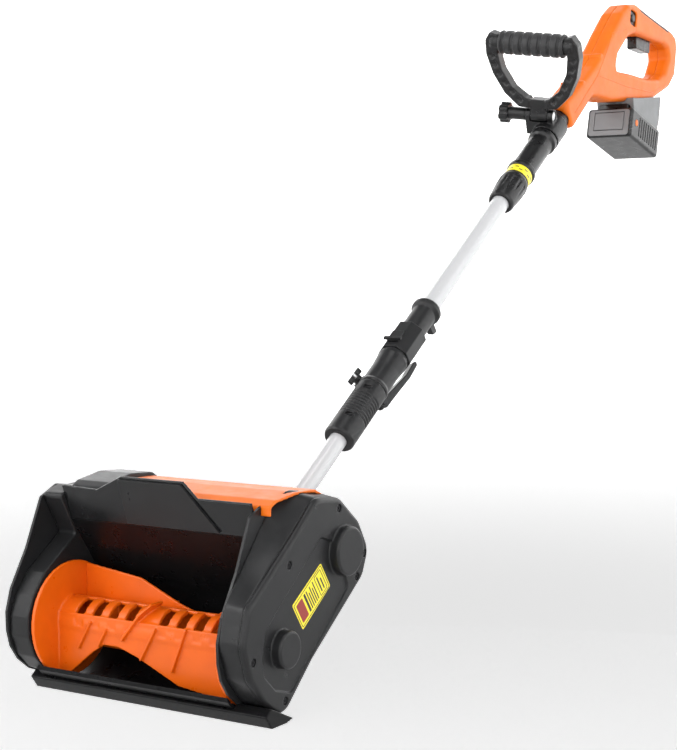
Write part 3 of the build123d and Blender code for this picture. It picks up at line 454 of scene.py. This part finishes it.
def barrel_bars(name, material, bars):
    """Bars printed round the barrel's band; each is (share of width from, to, angle from, to)."""
    into = SHAFT_FRAME.inverted()
    band = [into @ vertex.co for vertex in cad["barrel_label"].data.vertices]
    u_low, u_high = min(p.y for p in band), max(p.y for p in band)
    middle = (min(p.z for p in band) + max(p.z for p in band)) / 2
    radius = max(math.hypot(p.x, p.z - middle) for p in band)
    made = bmesh.new()
    for share_low, share_high, angle_low, angle_high in bars:
        rows = []
        for step in range(13):
            angle = math.radians(angle_low + (angle_high - angle_low) * step / 12)
            row = []
            corners = ((share_low, -0.1), (share_high, -0.1), (share_high, 0.08), (share_low, 0.08))
            for share, height in corners:
                reach = radius + height * MM
                along = u_low + (u_high - u_low) * share
                place = Vector((reach * math.sin(angle), along, middle + reach * math.cos(angle)))
                row.append(made.verts.new(SHAFT_FRAME @ place))
            rows.append(row)
        for first, second in zip(rows, rows[1:]):
            for side in range(4):
                following = (side + 1) % 4
                made.faces.new((first[side], first[following], second[following], second[side]))
        made.faces.new(rows[0])
        made.faces.new(rows[-1][::-1])
    bmesh.ops.recalc_face_normals(made, faces=made.faces)
    mesh = bpy.data.meshes.new(name)
    made.to_mesh(mesh)
    made.free()
    own(new_object(name, mesh, materials[material]), "barrel_label")


barrel_bars("barrel_print", "print_black",
            [(0.08, 0.13, -170, 170), (0.87, 0.92, -170, 170)]
            + [(0.28 + 0.3 * (step % 2), 0.40 + 0.3 * (step % 2), start, start + 16)
               for step, start in enumerate(range(-150, 150, 22))])


# ------------------------------------------------------------------ floor, lights and camera

def area_light(name, place, target, size, power):
    lamp = bpy.data.lights.new(name, "AREA")
    lamp.shape = "RECTANGLE"
    lamp.size, lamp.size_y = size
    lamp.energy = power
    holder = bpy.data.objects.new(name, lamp)
    holder.location = place
    holder.rotation_euler = (Vector(target) - Vector(place)).to_track_quat("-Z", "Y").to_euler()
    bpy.context.scene.collection.objects.link(holder)


FLOOR_RADIUS = 3.2
SWEEP_RADIUS = 2.6
BACKDROP_HEIGHT = 6.0
FLOOR_SIDES = 96
FLOOR_CENTRE = (0, 0.6, -0.0005)


def pale_floor():
    """Floor that sweeps up into a backdrop all round, so no horizon shows."""
    sweep = bmesh.new()
    profile = [(FLOOR_RADIUS, 0.0)]
    for degrees in range(10, 91, 10):
        angle = math.radians(degrees)
        reach = FLOOR_RADIUS + SWEEP_RADIUS * math.sin(angle)
        profile.append((reach, SWEEP_RADIUS * (1 - math.cos(angle))))
    profile.append((FLOOR_RADIUS + SWEEP_RADIUS, BACKDROP_HEIGHT))
    turn = [math.tau * step / FLOOR_SIDES for step in range(FLOOR_SIDES)]
    rings = [[sweep.verts.new((radius * math.cos(t), radius * math.sin(t), height)) for t in turn]
             for radius, height in profile]
    sweep.faces.new(rings[0])
    for low, high in zip(rings, rings[1:]):
        for step in range(FLOOR_SIDES):
            following = (step + 1) % FLOOR_SIDES
            sweep.faces.new((low[step], low[following], high[following], high[step]))
    for face in sweep.faces:
        face.smooth = True
    mesh = bpy.data.meshes.new("floor")
    sweep.to_mesh(mesh)
    sweep.free()
    made = bpy.data.materials.new("floor_white")
    made.use_nodes = True
    shader = made.node_tree.nodes["Principled BSDF"]
    shader.inputs["Base Color"].default_value = (0.9, 0.9, 0.9, 1)
    shader.inputs["Roughness"].default_value = 0.8
    shader.inputs["Specular IOR Level"].default_value = 0.1
    shader.inputs["Emission Color"].default_value = (1, 1, 1, 1)
    shader.inputs["Emission Strength"].default_value = 0.78
    floor = new_object("floor", mesh, made)
    floor.location = FLOOR_CENTRE


def world_light(strength):
    world = bpy.data.worlds.new("studio")
    world.use_nodes = True
    background = world.node_tree.nodes["Background"]
    background.inputs["Color"].default_value = (1.0, 1.0, 1.0, 1)
    background.inputs["Strength"].default_value = strength
    bpy.context.scene.world = world


CAMERA_AZIMUTH = math.radians(32.354)
CAMERA_ELEVATION = math.radians(3.619)
CAMERA_FROM_ROTOR = Vector((1.00383, -1.27671, 0.36538))
SENSOR_WIDTH = 36.0
FOCAL_LENGTH = 77.13


def photo_camera():
    azimuth, elevation = CAMERA_AZIMUTH, CAMERA_ELEVATION
    back = Vector((math.sin(azimuth) * math.cos(elevation), -math.cos(azimuth) * math.cos(elevation),
                   math.sin(elevation)))
    lens = bpy.data.cameras.new("camera")
    lens.sensor_width = SENSOR_WIDTH
    lens.lens = FOCAL_LENGTH
    holder = bpy.data.objects.new("camera", lens)
    holder.location = Vector((0, ROTOR_AXIS.y, ROTOR_AXIS.z)) + CAMERA_FROM_ROTOR
    holder.rotation_euler = (-back).to_track_quat("-Z", "Y").to_euler()
    bpy.context.scene.collection.objects.link(holder)
    bpy.context.scene.camera = holder


pale_floor()
world_light(0.3)
centre = (cad_low + cad_high) / 2
HEAD_AND_SHAFT = (0, 0.5, 0.4)
LIGHTS = {   # place, target, size in metres, power in watts
    "top": ((0.7, -0.3, 5.6), HEAD_AND_SHAFT, (2.4, 2.4), 52),
    "key": ((-3.2, -3.6, 4.2), centre, (1.2, 1.2), 40),
    "fill": ((4.3, -1.2, 2.6), centre, (1.6, 2.4), 14),
    "back": ((-0.8, 4.4, 4.0), centre, (2.4, 1.6), 16),
}
for light_name, row in LIGHTS.items():
    area_light(light_name, *row)
photo_camera()
bpy.context.scene.view_settings.view_transform = "Standard"
